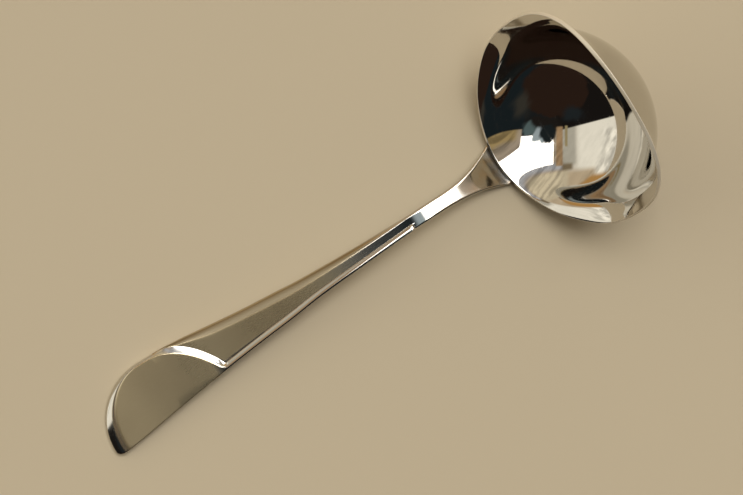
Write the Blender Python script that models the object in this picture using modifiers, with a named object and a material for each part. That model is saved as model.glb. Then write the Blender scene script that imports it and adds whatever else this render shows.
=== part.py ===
# Sauce ladle, lying on a table as it rests after use.
# A deep-drawn bowl with two pouring lips is lap-welded to a forged handle.
# +X runs from the handle's end to the bowl, +Z is up, and the table is Z = 0.

import math

import bmesh
import bpy
from mathutils import Euler, Matrix, Vector

MM = 0.001

# Bowl
BOWL_RADIUS = 28.0 * MM
BOWL_SHEET = 1.1 * MM
MOUTH_DROP = 3.4 * MM
MOUTH_TILT = math.radians(55.0)
BOWL_SET = math.radians(2.0)
LIP_SPREAD = 5.6 * MM
LIP_BLUNT = 1.5 * MM
LIP_DIP = 5.5 * MM
LIP_RISE = 1.1 * MM
LIP_SHIFT = 1.9 * MM
LIP_CURL = 20.0
LIP_TIGHT = 10.0
NEAR_SPREAD = 1.3 * MM
NEAR_CURL = 9.0
NEAR_TRIM = 0.7 * MM
WAIST = 1.8 * MM
WAIST_START = 12.0
WAIST_END = 60.0
RIM_ROUND = 0.25 * MM
BOWL_SPOKES = 72
BOWL_RINGS = 17
RING_POWER = 1.6

# Handle, with lengths counted from the joint at the bowl's rim
BEND_RUN = 12.0 * MM
NECK_RUN = 20.0 * MM
STEP_RUN = 28.7 * MM
HANDLE_LENGTH = 129.8 * MM
FAN_WIDTH = 12.4 * MM
NECK_WIDTH = 4.4 * MM
LAP_LENGTH = 3.0 * MM
LAP_THICKNESS = 0.6 * MM
JOINT_THICKNESS = 1.3 * MM
NECK_THICKNESS = 2.4 * MM
GRIP_THICKNESS = 2.8 * MM
ARCH_HEIGHT = 9.6 * MM
ARCH_RUN = 35.0 * MM
JOINT_SLOPE = math.tan(math.radians(23.0))
EDGE_ROUND = 0.3 * MM
NECK_ROUND = 0.6 * MM
UNDER_ROUND = 0.5 * MM
SIDE_SHARE = 0.35
SHARP_TURN = math.radians(32.0)

# Grip: widths left and right of the centre line and the rounding of the left shoulder,
# each at a share of the grip's length
GRIP_LEFT = [(0.0, 2.05 * MM), (0.16, 2.25 * MM), (0.33, 2.8 * MM), (0.41, 3.45 * MM), (0.51, 4.25 * MM),
             (0.61, 5.35 * MM), (0.7, 6.4 * MM), (0.76, 6.85 * MM), (0.825, 6.95 * MM)]
GRIP_RIGHT = [(0.0, 2.25 * MM), (0.16, 3.2 * MM), (0.31, 4.2 * MM), (0.41, 5.35 * MM), (0.51, 6.3 * MM),
              (0.61, 7.4 * MM), (0.7, 8.5 * MM), (0.8, 9.85 * MM), (0.9, 11.3 * MM), (0.97, 12.2 * MM)]
SHOULDER = [(0.0, 0.7 * MM), (0.16, 1.7 * MM), (0.31, 2.4 * MM), (0.41, 2.9 * MM), (0.6, 2.8 * MM),
            (0.7, 1.5 * MM), (0.78, 0.4 * MM)]

# Raised border: a narrow strip along the right edge that opens into a half-moon pad at the end
STRIP_WIDTH = 1.4 * MM
STRIP_RAMP = 0.45 * MM
STRIP_CHAMFER = 0.2 * MM
STEP_HEIGHT = 0.7 * MM
STEP_NOSE = 1.2 * MM
PAD_LENGTH = 38.3 * MM
PAD_SLOPE = math.radians(4.0)
PAD_ARC = 16.5 * MM
PAD_RAMP = 4.0 * MM
PAD_CURVE = 2.5
ARC_LAG = 0.45
RAMP_SHARE = 0.88
RAMP_INDEX = 7
RAMP_COUNT = 3
END_HEIGHT = 2.1 * MM
END_ROUND = 17.6 * MM
END_OFFSET = 10.4 * MM
END_ROLL = 4.2 * MM
PAD_ROLL = 1.0 * MM
TIP_ROUND = 2.0 * MM
REST_LENGTH = 11.8 * MM

# Weld and clearance
GAP = 0.3 * MM
BEAD_RADIUS = 0.4 * MM
BEAD_POINTS = 17

# Colours as linear red, green and blue
POLISHED = (0.78, 0.76, 0.73, 1.0)
BRUSHED = (0.60, 0.58, 0.55, 1.0)
WELD = (0.62, 0.56, 0.47, 1.0)


def clear_scene():
    for item in list(bpy.data.objects):
        bpy.data.objects.remove(item, do_unlink=True)


def new_collection(name):
    group = bpy.data.collections.new(name)
    bpy.context.scene.collection.children.link(group)
    return group


def metal(name, colour, roughness):
    material = bpy.data.materials.new(name)
    material.use_nodes = True
    shader = material.node_tree.nodes["Principled BSDF"]
    shader.inputs["Base Color"].default_value = colour
    shader.inputs["Metallic"].default_value = 1.0
    shader.inputs["Roughness"].default_value = roughness
    material.diffuse_color = colour
    return material


def mix(a, b, share):
    return a + (b - a) * share


def ease(share):
    share = min(max(share, 0.0), 1.0)
    return share * share * (3.0 - 2.0 * share)


def hermite(a, slope_a, b, slope_b, run, share):
    # A cubic from a to b over the run, leaving and arriving with the given slopes
    square = share * share
    cube = square * share
    return ((2.0 * cube - 3.0 * square + 1.0) * a + (cube - 2.0 * square + share) * run * slope_a
            + (3.0 * square - 2.0 * cube) * b + (cube - square) * run * slope_b)


def through(points, at):
    # A smooth line through the points that never overshoots them
    if at <= points[0][0]:
        return points[0][1]
    if at >= points[-1][0]:
        return points[-1][1]
    steps = [(b[1] - a[1]) / (b[0] - a[0]) for a, b in zip(points, points[1:])]
    slopes = [steps[0]]
    for before, after in zip(steps, steps[1:]):
        slopes.append(0.0 if before * after <= 0.0 else 2.0 * before * after / (before + after))
    slopes.append(steps[-1])
    for index, (a, b) in enumerate(zip(points, points[1:])):
        if at <= b[0]:
            run = b[0] - a[0]
            return hermite(a[1], slopes[index], b[1], slopes[index + 1], run, (at - a[0]) / run)


# Bowl: where its centre lies, and the shape of its mouth

def mouth_angle(side, near):
    # Angle from the bowl's bottom up to the rim; side is 0 fore and aft, 1 at the lips
    drop = MOUTH_DROP + LIP_DIP * side - LIP_RISE * side ** 3 + NEAR_TRIM * near
    return math.acos(drop / BOWL_RADIUS)


def lip_reach(side):
    return LIP_SPREAD * side ** 1.2 - LIP_BLUNT * side ** 8


def wall_point(turn, share):
    # A point of the outer wall: turn round the mouth's axis, share from the bottom to the rim.
    # The lips curl over, the near wall flares towards the joint, and it draws in before the lips.
    ahead = math.cos(turn)
    across = math.sin(turn)
    side = across * across
    near = max(-ahead, 0.0) ** 3
    waist = (6.75 * side * side * (1.0 - side)) ** 2 if ahead < 0.0 else 0.0
    curl = share ** (LIP_CURL + LIP_TIGHT * waist)
    angle = share * mouth_angle(side, near)
    radius = (BOWL_RADIUS * math.sin(angle) + lip_reach(side) * curl + NEAR_SPREAD * near * share ** NEAR_CURL
              - WAIST * waist * (share ** WAIST_START - share ** WAIST_END))
    return Vector((radius * ahead + LIP_SHIFT * side * curl, radius * across, -BOWL_RADIUS * math.cos(angle)))


def joint_from_centre():
    # The near rim's outer edge, along X from the bowl's centre
    spot = wall_point(math.pi, 1.0)
    return spot.x * math.cos(MOUTH_TILT) - spot.z * math.sin(MOUTH_TILT)


def belly_depth():
    # How far below the bowl's centre its belly reaches
    spots = [wall_point(math.pi, k / 200.0) for k in range(100, 200)]
    return -min(spot.x * math.sin(MOUTH_TILT) + spot.z * math.cos(MOUTH_TILT) for spot in spots)


def bowl_centre():
    # The joint is at X = 0, and the bowl swings round the neck by its set
    along = BEND_RUN - joint_from_centre()
    return Vector((along * math.cos(BOWL_SET) - BEND_RUN, along * math.sin(BOWL_SET), belly_depth()))


CENTRE = bowl_centre()


def bowl_place():
    turn = Euler((0.0, -MOUTH_TILT, BOWL_SET)).to_matrix().to_4x4()
    return Matrix.Translation(CENTRE) @ turn


def make_bowl(group, material, root):
    # The blank is a quarter circle turned into a half sphere, with closer rings at the rim
    blank = bpy.data.meshes.new("bowl_blank")
    ring_share = [1.0 - (1.0 - k / BOWL_RINGS) ** RING_POWER for k in range(BOWL_RINGS + 1)]
    arc = [share * math.pi / 2.0 for share in reversed(ring_share)]
    profile = [(BOWL_RADIUS * math.sin(a), 0.0, -BOWL_RADIUS * math.cos(a)) for a in arc]
    profile[-1] = (0.0, 0.0, -BOWL_RADIUS)
    blank.from_pydata(profile, [(k, k + 1) for k in range(len(profile) - 1)], [])
    turned = bpy.data.objects.new("bowl_turned", blank)
    group.objects.link(turned)
    screw = turned.modifiers.new("turn", "SCREW")
    screw.steps = BOWL_SPOKES
    screw.render_steps = BOWL_SPOKES
    screw.use_merge_vertices = True
    screw.merge_threshold = 0.00001
    bpy.context.view_layer.update()
    mesh = bpy.data.meshes.new_from_object(turned.evaluated_get(bpy.context.evaluated_depsgraph_get()))
    bpy.data.objects.remove(turned, do_unlink=True)

    # The mouth is trimmed and its lips are drawn out and curled over
    for vertex in mesh.vertices:
        x, y, z = vertex.co
        flat = math.hypot(x, y)
        if flat < 0.01 * MM:
            continue
        vertex.co = wall_point(math.atan2(y, x), math.atan2(flat, -z) / (math.pi / 2.0))
    mesh.name = "bowl"
    mesh.materials.clear()
    mesh.materials.append(material)
    bowl = bpy.data.objects.new("bowl", mesh)
    group.objects.link(bowl)
    mesh.shade_smooth()

    wall = bowl.modifiers.new("sheet", "SOLIDIFY")
    wall.thickness = BOWL_SHEET
    wall.offset = -1.0
    wall.use_even_offset = True
    rounded = bowl.modifiers.new("rim", "BEVEL")
    rounded.width = RIM_ROUND
    rounded.segments = 2
    rounded.limit_method = "ANGLE"
    rounded.angle_limit = math.radians(50.0)
    bowl.location = CENTRE
    bowl.rotation_euler = (0.0, -MOUTH_TILT, BOWL_SET)
    bowl.parent = root
    return bowl


# Handle: its outline, its side profile and one section after another

def wall_height(x, y, away):
    # Height of a surface that lies outside the near wall by the distance away, found step by step
    place = bowl_place()
    step = 0.002

    def outside(turn, share):
        spot = wall_point(turn, share)
        around = wall_point(turn + step, share) - wall_point(turn - step, share)
        up = wall_point(turn, share + step) - wall_point(turn, share - step)
        return place @ (spot + around.cross(up).normalized() * away)

    turn = math.pi
    share = 1.0
    for _ in range(6):
        spot = outside(turn, share)
        by_turn = (outside(turn + step, share) - spot) / step
        by_share = (outside(turn, share + step) - spot) / step
        area = by_turn.x * by_share.y - by_turn.y * by_share.x
        turn += ((x - spot.x) * by_share.y - (y - spot.y) * by_share.x) / area
        share += (by_turn.x * (y - spot.y) - by_turn.y * (x - spot.x)) / area
    return outside(turn, share).z


def centre_line(run):
    # The neck bends by the bowl's set, so that the handle meets the bowl in its middle
    return math.tan(BOWL_SET) * max(BEND_RUN - max(run, 0.0), 0.0)


# Where the neck's upper face meets the rim
JOINT_HEIGHT = wall_height(0.0, centre_line(0.0), GAP)


def grip_share(run):
    return (run - STEP_RUN) / (HANDLE_LENGTH - STEP_RUN)


def fan_half(run):
    if run < 0.0:
        return FAN_WIDTH / 2.0 * math.sqrt(1.0 - (run / (1.4 * LAP_LENGTH)) ** 2)
    open_share = max(1.0 - run / NECK_RUN, 0.0)
    return NECK_WIDTH / 2.0 + (FAN_WIDTH - NECK_WIDTH) / 2.0 * open_share ** 2.5


def quarter(share):
    return math.sqrt(max(1.0 - min(max(share, 0.0), 1.0) ** 2, 0.0))


def roll(share):
    # How far a rounded edge has dropped, from 0 where it starts to 1 at its outer end
    return 1.0 - quarter(share)


def end_edge(run, share):
    # Quarter ellipses round the end: share 1 is the outline, share 0 where the rounding starts
    start = HANDLE_LENGTH - END_ROUND
    long_axis = END_ROUND - END_ROLL * (1.0 - share)
    wide_axis = GRIP_LEFT[-1][1] + END_OFFSET - PAD_ROLL * (1.0 - share)
    return wide_axis * quarter((run - start) / long_axis) - END_OFFSET


def end_share(run, y):
    # Which of the quarter ellipses passes through a point of the end
    low = 0.0
    high = 1.0
    for _ in range(24):
        share = (low + high) / 2.0
        if end_edge(run, share) < max(y, 0.001 * MM - END_OFFSET):
            low = share
        else:
            high = share
    return high


def left_edge(run):
    if run < STEP_RUN:
        return mix(fan_half(run), GRIP_LEFT[0][1], ease((run - NECK_RUN) / (STEP_RUN - NECK_RUN)))
    if run > HANDLE_LENGTH - END_ROUND:
        return end_edge(run, 1.0)
    return through(GRIP_LEFT, grip_share(run))


def right_edge(run):
    if run < STEP_RUN:
        return mix(fan_half(run), GRIP_RIGHT[0][1], ease((run - NECK_RUN) / (STEP_RUN - NECK_RUN)))
    corner = through(GRIP_RIGHT, grip_share(run))
    tip_share = quarter((run - HANDLE_LENGTH + TIP_ROUND) / TIP_ROUND)
    return mix(END_OFFSET, corner, tip_share) if run > HANDLE_LENGTH - TIP_ROUND else corner


def pad_height(run):
    return END_HEIGHT + (HANDLE_LENGTH - run) * math.tan(PAD_SLOPE)


def face_height(run):
    # Side profile of the main face, from the bowl's wall over the arch and down to the pad
    pad_start = HANDLE_LENGTH - PAD_LENGTH
    if run >= pad_start:
        return pad_height(run) - STEP_HEIGHT
    if run >= ARCH_RUN:
        down = pad_start - ARCH_RUN
        low = pad_height(pad_start) - STEP_HEIGHT
        return hermite(ARCH_HEIGHT, 0.0, low, -math.tan(PAD_SLOPE), down, (run - ARCH_RUN) / down)
    if run <= 0.0:
        return wall_height(-run, centre_line(0.0), GAP)
    return hermite(JOINT_HEIGHT, JOINT_SLOPE, ARCH_HEIGHT, 0.0, ARCH_RUN, run / ARCH_RUN)


def under_height(run):
    pad_start = HANDLE_LENGTH - PAD_LENGTH
    thickness = through([(-LAP_LENGTH, LAP_THICKNESS), (0.0, JOINT_THICKNESS), (NECK_RUN, NECK_THICKNESS),
                         (2.0 * STEP_RUN, GRIP_THICKNESS)], run)
    if run <= pad_start:
        return face_height(run) - thickness
    start = face_height(pad_start) - GRIP_THICKNESS
    share = min((run - pad_start) / (PAD_LENGTH - REST_LENGTH), 1.0)
    return start * (1.0 - share) ** 2


def pad_arc(run, start, start_y, apex, apex_y):
    return apex_y - (apex_y - start_y) * (max(apex - run, 0.0) / (apex - start)) ** PAD_CURVE


def ramp_foot(run):
    # Where the main face meets the ramp up to the raised border
    start = HANDLE_LENGTH - PAD_LENGTH
    if run <= start:
        return STRIP_WIDTH + STRIP_RAMP / 2.0 - right_edge(run)
    start_y = STRIP_WIDTH + STRIP_RAMP / 2.0 - right_edge(start)
    return pad_arc(run, start, start_y, start + PAD_ARC, left_edge(start + PAD_ARC))


def ramp_top(run):
    # Where the ramp reaches the raised border
    strip = STRIP_WIDTH - STRIP_RAMP / 2.0 - right_edge(run)
    start = HANDLE_LENGTH - PAD_LENGTH + ARC_LAG * PAD_RAMP
    if run <= start:
        return strip
    apex = HANDLE_LENGTH - PAD_LENGTH + PAD_ARC + PAD_RAMP
    start_y = STRIP_WIDTH - STRIP_RAMP / 2.0 - right_edge(start)
    return pad_arc(run, start, start_y, apex, GRIP_LEFT[-1][1] - PAD_ROLL)


def border_rise(run):
    # The strip starts as a rounded nose that stands up from the neck
    return STEP_HEIGHT * quarter(1.0 - (run - STEP_RUN) / STEP_NOSE) if run > STEP_RUN else 0.0


def neck_top(run):
    # Points over the neck and the grip, from the right edge to the left edge
    left = left_edge(run)
    right = right_edge(run)
    face = face_height(run)
    under = under_height(run)
    side = mix(under, face, SIDE_SHARE)
    rise = border_rise(run)
    foot = ramp_foot(run)
    top = ramp_top(run)
    if run < STEP_RUN + STEP_NOSE:
        edge = mix(NECK_ROUND, EDGE_ROUND, max(run - STEP_RUN, 0.0) / STEP_NOSE)
        shoulder = mix(NECK_ROUND, SHOULDER[0][1], ease(run / STEP_RUN))
    else:
        edge = EDGE_ROUND
        shoulder = through(SHOULDER, grip_share(run))
    edge = min(edge, 0.4 * (face - under))
    foot = max(foot, edge + 0.5 * MM - right)
    top = max(top, edge + 0.1 * MM - right)
    shoulder = min(shoulder, 0.95 * (left - foot))
    points = []
    for angle in (0.0, 30.0, 60.0, 90.0):
        turn = math.radians(angle)
        points.append((-right + edge * (1.0 - math.cos(turn)), face + rise - edge * (1.0 - math.sin(turn))))
    start = edge - right
    for share in (0.25, 0.5, 0.75):
        points.append((mix(start, top, share), face + rise))
    # Along the strip the ramp is a chamfer over a low wall, along the pad it is one long slope
    pad_share = (run - HANDLE_LENGTH + PAD_LENGTH) / (ARC_LAG * PAD_RAMP)
    middle = (mix(foot, top, 0.1), face + max(rise - STRIP_CHAMFER, 0.0))
    if pad_share >= 0.0:
        strip_foot = min(STRIP_WIDTH + STRIP_RAMP / 2.0 - right, mix(foot, top, 0.1))
        middle = (max(strip_foot, mix(foot, top, RAMP_SHARE)), face + RAMP_SHARE * rise * pad_share)
    if pad_share >= 1.0:
        middle = (mix(foot, top, RAMP_SHARE), face + RAMP_SHARE * rise)
    points.append((top, face + rise))
    points.append(middle)
    points.append((foot, face))
    inner = left - shoulder
    for share in (0.2, 0.4, 0.6, 0.8):
        points.append((mix(foot, inner, share), face))
    for angle in (0.0, 22.5, 45.0, 67.5, 90.0):
        share = math.sin(math.radians(angle))
        points.append((inner + shoulder * share, face - (face - side) * roll(share)))
    return points


def end_top(run):
    # Points over the end, where the pad rolls off towards its rounded outline
    right = right_edge(run)
    under = under_height(run)
    pad = pad_height(run)
    side = mix(under, pad, SIDE_SHARE)
    left = left_edge(run)
    inner = end_edge(run, 0.0) if run > HANDLE_LENGTH - END_ROUND else left - PAD_ROLL

    def height(y):
        if run <= HANDLE_LENGTH - END_ROUND:
            return pad - (pad - side) * roll((y - inner) / PAD_ROLL)
        return pad - (pad - side) * roll(end_share(run, y))

    edge = min(EDGE_ROUND, 0.3 * (height(-right) - under), 0.2 * (left + right))
    points = []
    for angle in (0.0, 30.0, 60.0, 90.0):
        turn = math.radians(angle)
        y = -right + edge * (1.0 - math.cos(turn))
        points.append((y, height(y) - edge * (1.0 - math.sin(turn))))
    start = max(inner, edge - right)
    for share in (0.25, 0.5, 0.75):
        y = mix(edge - right, start, share)
        points.append((y, height(y)))
    steps = 11
    for step in range(steps + 1):
        y = mix(start, left, math.sin(step / steps * math.pi / 2.0))
        points.append((y, height(y) if step < steps else side))
    return points


def section(run):
    # Points round the handle at one run: over the top from right to left, then back underneath
    left = left_edge(run)
    right = right_edge(run)
    under = under_height(run)
    end_share_here = ease((run - HANDLE_LENGTH + PAD_LENGTH - 0.7 * PAD_ARC) / (PAD_ARC / 2.0))
    points = neck_top(run) if end_share_here < 1.0 else end_top(run)
    if 0.0 < end_share_here < 1.0:
        points = [(mix(y, end_y, end_share_here), mix(z, end_z, end_share_here))
                  for (y, z), (end_y, end_z) in zip(points, end_top(run))]
    low = min(UNDER_ROUND, 0.8 * (points[-1][1] - under), 0.6 * (points[0][1] - under), 0.2 * (left + right))
    for angle in (0.0, 45.0, 90.0):
        turn = math.radians(angle)
        points.append((left - low * (1.0 - math.cos(turn)), under + low * (1.0 - math.sin(turn))))
    for share in (0.2, 0.4, 0.6, 0.8):
        points.append((mix(left - low, low - right, share), under))
    for angle in (90.0, 45.0, 0.0):
        turn = math.radians(angle)
        points.append((-right + low * (1.0 - math.cos(turn)), under + low * (1.0 - math.sin(turn))))
    return points


def stations():
    # Runs of the sections: closer where the outline or the side profile turns
    nose_end = STEP_RUN + STEP_NOSE
    pad_start = HANDLE_LENGTH - PAD_LENGTH
    arc_end = pad_start + PAD_ARC
    end_start = HANDLE_LENGTH - END_ROUND
    spans = [(-LAP_LENGTH, 0.0, 4), (0.0, NECK_RUN, 10), (NECK_RUN, STEP_RUN, 5), (STEP_RUN, nose_end, 6),
             (nose_end, pad_start - 2.0 * MM, 16), (pad_start - 2.0 * MM, pad_start, 2),
             (pad_start, pad_start + 0.45 * PAD_ARC, 18),
             (pad_start + 0.45 * PAD_ARC, arc_end, 10), (arc_end, end_start, 3)]
    runs = []
    for start, stop, count in spans:
        runs += [mix(start, stop, k / count) for k in range(count)]
    turns = 15
    runs += [end_start + (END_ROUND - 0.05 * MM) * math.sin(k / turns * math.pi / 2.0)
             for k in range(turns + 1)]
    return runs


def make_handle(group, material, root):
    mesh = bpy.data.meshes.new("handle")
    loft = bmesh.new()
    rings = []
    runs = stations()
    for run in runs:
        middle = centre_line(run)
        # Near the bowl the fan is pressed to the curve of the bowl's wall
        hug = 1.0 - ease(run / (0.7 * NECK_RUN))
        reach = max(-run, 0.0)
        level = wall_height(reach, middle, GAP) if hug > 0.0 else 0.0
        ring = []
        for y, z in section(run):
            cup = wall_height(reach, middle + y, GAP) - level if hug > 0.0 else 0.0
            ring.append(loft.verts.new((-run, middle + y, z + hug * cup)))
        rings.append(ring)
    count = len(rings[0])
    creases = []
    for run, a, b in zip(runs, rings, rings[1:]):
        for k in range(count):
            n = (k + 1) % count
            loft.faces.new((a[k], a[n], b[n], b[k]))
        if STEP_RUN < run < HANDLE_LENGTH - PAD_LENGTH + 1.1 * PAD_ARC:
            creases += [loft.edges.get((a[k], b[k])) for k in range(RAMP_INDEX, RAMP_INDEX + RAMP_COUNT)]
    loft.faces.new(rings[0])
    loft.faces.new(list(reversed(rings[-1])))
    bmesh.ops.recalc_face_normals(loft, faces=loft.faces)
    for edge in loft.edges:
        edge.smooth = not (edge.is_manifold and edge.calc_face_angle() > SHARP_TURN)
    for edge in creases:
        edge.smooth = False
    for face in loft.faces:
        face.smooth = True
    loft.to_mesh(mesh)
    loft.free()
    mesh.materials.append(material)
    handle = bpy.data.objects.new("handle", mesh)
    group.objects.link(handle)
    handle.parent = root
    return handle


def make_weld(group, material, root):
    # A thin bead under the bowl, along the rounded end of the handle's lap
    away = GAP + BEAD_RADIUS
    reach = LAP_LENGTH + away
    path = bpy.data.curves.new("weld_bead", "CURVE")
    path.dimensions = "3D"
    path.bevel_depth = BEAD_RADIUS
    path.bevel_resolution = 2
    path.use_fill_caps = True
    line = path.splines.new("POLY")
    line.points.add(BEAD_POINTS - 1)
    middle = centre_line(0.0)
    half = fan_half(-LAP_LENGTH)
    for k in range(BEAD_POINTS):
        share = 2.0 * k / (BEAD_POINTS - 1) - 1.0
        y = middle + share * half
        line.points[k].co = (reach, y, wall_height(reach, y, away), 1.0)
        line.points[k].radius = mix(1.0, 0.6, share ** 4)
    weld = bpy.data.objects.new("weld_bead", path)
    group.objects.link(weld)
    path.materials.append(material)
    weld.parent = root
    return weld


def stand_on_origin(parts, root):
    # The origin is the middle of the ladle's footprint, on the table
    bpy.context.view_layer.update()
    graph = bpy.context.evaluated_depsgraph_get()
    low = Vector((math.inf, math.inf, math.inf))
    high = -low
    for part in parts:
        shape = part.evaluated_get(graph)
        mesh = shape.to_mesh()
        for vertex in mesh.vertices:
            spot = part.matrix_world @ vertex.co
            low = Vector(map(min, low, spot))
            high = Vector(map(max, high, spot))
        shape.to_mesh_clear()
    root.location = (-(low.x + high.x) / 2.0, -(low.y + high.y) / 2.0, -low.z)


def main():
    clear_scene()
    group = new_collection("sauce_ladle")
    root = bpy.data.objects.new("ladle_root", None)
    group.objects.link(root)
    bowl = make_bowl(group, metal("polished_steel", POLISHED, 0.06), root)
    handle = make_handle(group, metal("brushed_steel", BRUSHED, 0.28), root)
    weld = make_weld(group, metal("weld_metal", WELD, 0.35), root)
    stand_on_origin((bowl, handle, weld), root)
    bpy.context.view_layer.update()


main()
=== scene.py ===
# Looks for the sauce ladle: finely divided pieces over the CAD solids, steel with smudges and wear and some
# painted shade and painted reflection, floor, light and camera.
# Lengths are in metres, and runs along the handle are counted from its joint at the bowl's rim.

import math

import bmesh
import bpy
from mathutils import Euler, Matrix, Vector


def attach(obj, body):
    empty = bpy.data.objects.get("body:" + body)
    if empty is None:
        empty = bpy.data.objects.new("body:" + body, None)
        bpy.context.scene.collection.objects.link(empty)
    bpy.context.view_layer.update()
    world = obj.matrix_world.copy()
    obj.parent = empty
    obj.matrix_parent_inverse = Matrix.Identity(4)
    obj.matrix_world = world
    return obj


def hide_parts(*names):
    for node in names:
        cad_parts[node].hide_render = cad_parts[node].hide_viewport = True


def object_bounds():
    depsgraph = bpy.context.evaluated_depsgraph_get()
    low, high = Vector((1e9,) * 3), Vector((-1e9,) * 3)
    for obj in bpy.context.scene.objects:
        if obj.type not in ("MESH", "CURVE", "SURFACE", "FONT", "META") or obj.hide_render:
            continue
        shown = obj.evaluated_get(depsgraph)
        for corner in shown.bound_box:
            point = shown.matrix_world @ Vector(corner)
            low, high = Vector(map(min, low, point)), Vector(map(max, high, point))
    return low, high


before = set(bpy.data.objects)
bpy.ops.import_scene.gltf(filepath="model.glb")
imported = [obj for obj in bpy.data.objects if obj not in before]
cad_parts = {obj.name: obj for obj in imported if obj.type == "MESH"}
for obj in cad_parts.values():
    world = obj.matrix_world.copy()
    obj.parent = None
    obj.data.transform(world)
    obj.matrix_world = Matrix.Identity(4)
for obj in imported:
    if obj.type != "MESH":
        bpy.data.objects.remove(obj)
CAD_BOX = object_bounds()
MM = 0.001

# Where the joint at the rim lies in the frame
JOINT = Vector((44.248 * MM, -1.138 * MM, 0.0))

# Bowl, as in the solids apart from a shallower waist
BOWL_RADIUS = 28.0 * MM
BOWL_SHEET = 1.1 * MM
MOUTH_DROP = 3.4 * MM
MOUTH_TILT = math.radians(55.0)
BOWL_SET = math.radians(2.0)
LIP_SPREAD = 5.6 * MM
LIP_POWER = 1.2
LIP_BLUNT = 1.5 * MM
BLUNT_POWER = 8
LIP_DIP = 5.5 * MM
LIP_RISE = 1.1 * MM
LIP_SHIFT = 1.9 * MM
LIP_CURL = 20.0
NEAR_SPREAD = 1.3 * MM
NEAR_CURL = 9.0
NEAR_TRIM = 0.7 * MM
WAIST = 1.2 * MM
WAIST_START = 12.0
WAIST_END = 60.0
# Makes the waist's largest value 1
WAIST_PEAK = 27.0 / 4.0
LIP_TIGHT = 10.0
RIM_ROUND = 0.25 * MM
SPOKES = 288
RINGS = 72
RIM_STEPS = 4
# Rings lie closer together towards the rim
RING_CROWDING = 1.3
RING_CLEAR = 0.001
# The rim's edge is painted dark beside the weld, as painted shade in the gap under the handle's lap
RIM_SHADE_HALF = 0.27
RIM_SHADE_FADE = 0.05

# Handle, as in the solids apart from the slopes of its arch: run from the joint, degrees
BEND_RUN = 12.0 * MM
NECK_RUN = 20.0 * MM
STEP_RUN = 28.7 * MM
HANDLE_LENGTH = 129.8 * MM
FAN_WIDTH = 12.4 * MM
NECK_WIDTH = 4.4 * MM
FAN_CURVE = 2.5
HUG_RUN = 0.7 * NECK_RUN
LAP_LENGTH = 3.0 * MM
FAN_END = 1.4 * LAP_LENGTH
LAP_THICKNESS = 0.6 * MM
JOINT_THICKNESS = 1.3 * MM
NECK_THICKNESS = 2.4 * MM
GRIP_THICKNESS = 2.8 * MM
ARCH_SLOPES = [(0.0, 23.0), (14.5 * MM, 15.6), (19.5 * MM, 14.5), (25.5 * MM, 2.8),
               (28.5 * MM, -1.5), (45.0 * MM, -3.2), (60.0 * MM, -5.5)]
EDGE_ROUND = 0.3 * MM
NECK_ROUND = 0.6 * MM
UNDER_ROUND = 0.5 * MM
SIDE_SHARE = 0.35
GRIP_LEFT = [(0.0, 2.05 * MM), (0.16, 2.25 * MM), (0.33, 2.8 * MM), (0.41, 3.45 * MM), (0.51, 4.25 * MM),
             (0.61, 5.35 * MM), (0.7, 6.4 * MM), (0.76, 6.85 * MM), (0.825, 6.95 * MM)]
GRIP_RIGHT = [(0.0, 2.25 * MM), (0.16, 3.2 * MM), (0.31, 4.2 * MM), (0.41, 5.35 * MM), (0.51, 6.3 * MM),
              (0.61, 7.4 * MM), (0.7, 8.5 * MM), (0.8, 9.85 * MM), (0.9, 11.3 * MM), (0.97, 12.2 * MM)]
SHOULDER = [(0.0, 0.7 * MM), (0.16, 1.7 * MM), (0.31, 2.4 * MM), (0.41, 2.9 * MM), (0.6, 2.8 * MM),
            (0.7, 1.5 * MM), (0.78, 0.4 * MM)]
STRIP_WIDTH = 1.4 * MM
STRIP_RAMP = 0.45 * MM
STRIP_CHAMFER = 0.2 * MM
STEP_HEIGHT = 0.7 * MM
STEP_NOSE = 1.2 * MM
PAD_LENGTH = 38.3 * MM
PAD_SLOPE = math.radians(4.0)
PAD_ARC = 16.5 * MM
PAD_RAMP = 4.0 * MM
END_BLEND = 0.7 * PAD_ARC
PAD_CURVE = 2.5
ARC_LAG = 0.45
RAMP_SHARE = 0.88
END_HEIGHT = 2.1 * MM
END_ROUND = 17.6 * MM
END_OFFSET = 10.4 * MM
END_ROLL = 4.2 * MM
PAD_ROLL = 1.0 * MM
TIP_ROUND = 2.0 * MM
TIP_FLAT = 0.02 * MM
REST_LENGTH = 11.8 * MM
RAMP_FILLET = 0.12 * MM
RAMP_LEVEL = 0.17
WAVE_START = 0.3
WAVE_LENGTH = 0.9
STRIP_CROWN = 0.16
STRIP_FOOT_SHARE = 0.1
FOOT_CLEAR = 0.5 * MM
TOP_CLEAR = 0.1 * MM
SHARP_ANGLE = math.radians(40.0)
PAD_START = HANDLE_LENGTH - PAD_LENGTH
END_START = HANDLE_LENGTH - END_ROUND
# A rounding takes at most these shares of the room it has
EDGE_LIMIT = 0.4
SHOULDER_LIMIT = 0.95
FILLET_LIMIT = 0.4
END_EDGE_LIMIT = 0.3
TIP_LIMIT = 0.2
UNDER_LEFT_LIMIT = 0.8
UNDER_RIGHT_LIMIT = 0.6
# The half-moon's rim: a slight dip, then a slope, then the edge
RIM_DIP = 0.08
RIM_DIP_END = 0.3
RIM_SLOPE = 0.57
RIM_SLOPE_START = 0.42
RIM_SLOPE_CURVE = 1.15
RIM_EDGE = 0.35
# How far below a face its edge is bright, and how deep the painted shade on the left shoulder reaches
EDGE_BRIGHT = 0.25 * MM
SHOULDER_SOFT = 0.06 * MM
SHOULDER_SHADE_DEPTH = 0.65 * MM
SHOULDER_FADE = 0.5 * MM
EDGE_SHINE = 1.3
UNDER_SHINE = 0.5
RAMP_DULL = 0.15
RAMP_FADE = 0.2

GAP = 0.3 * MM
BEAD_RADIUS = 0.4 * MM
BEAD_POINTS = 49
BEAD_SIDES = 16
BEAD_RIPPLE = 0.05
BEAD_END_SHARE = 0.6

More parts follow.
